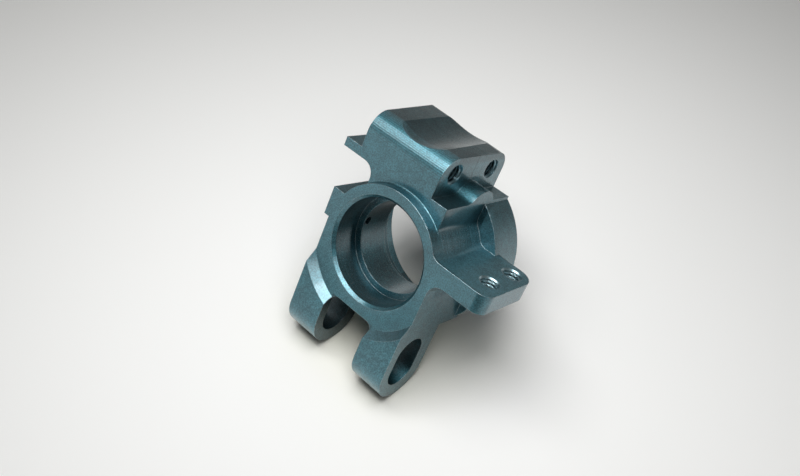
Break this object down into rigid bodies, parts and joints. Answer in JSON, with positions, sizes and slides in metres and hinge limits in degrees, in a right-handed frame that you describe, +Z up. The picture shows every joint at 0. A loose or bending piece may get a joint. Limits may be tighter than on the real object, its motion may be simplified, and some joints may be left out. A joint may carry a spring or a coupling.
{
  "type": "steering knuckle",
  "caption": "Small machined aluminium steering knuckle with a stepped bearing bore, two slotted legs, a drilled side tab and an upper link block.",
  "frame": {"origin": "on the axle bore's axis, at the front face of the hub ring", "axes": "+Y runs along the axle bore from the front face to the rear flange; +Z points up from the two slotted legs to the link block; +X points towards the side tab with the two screw holes"},
  "size_m": [0.0297, 0.0187, 0.035],
  "materials": {
    "anodised_aluminium": "satin bead-blasted dark teal anodising"
  },
  "bodies": {
    "root": {"steering_knuckle": "anodised_aluminium"}
  },
  "joints": []
}
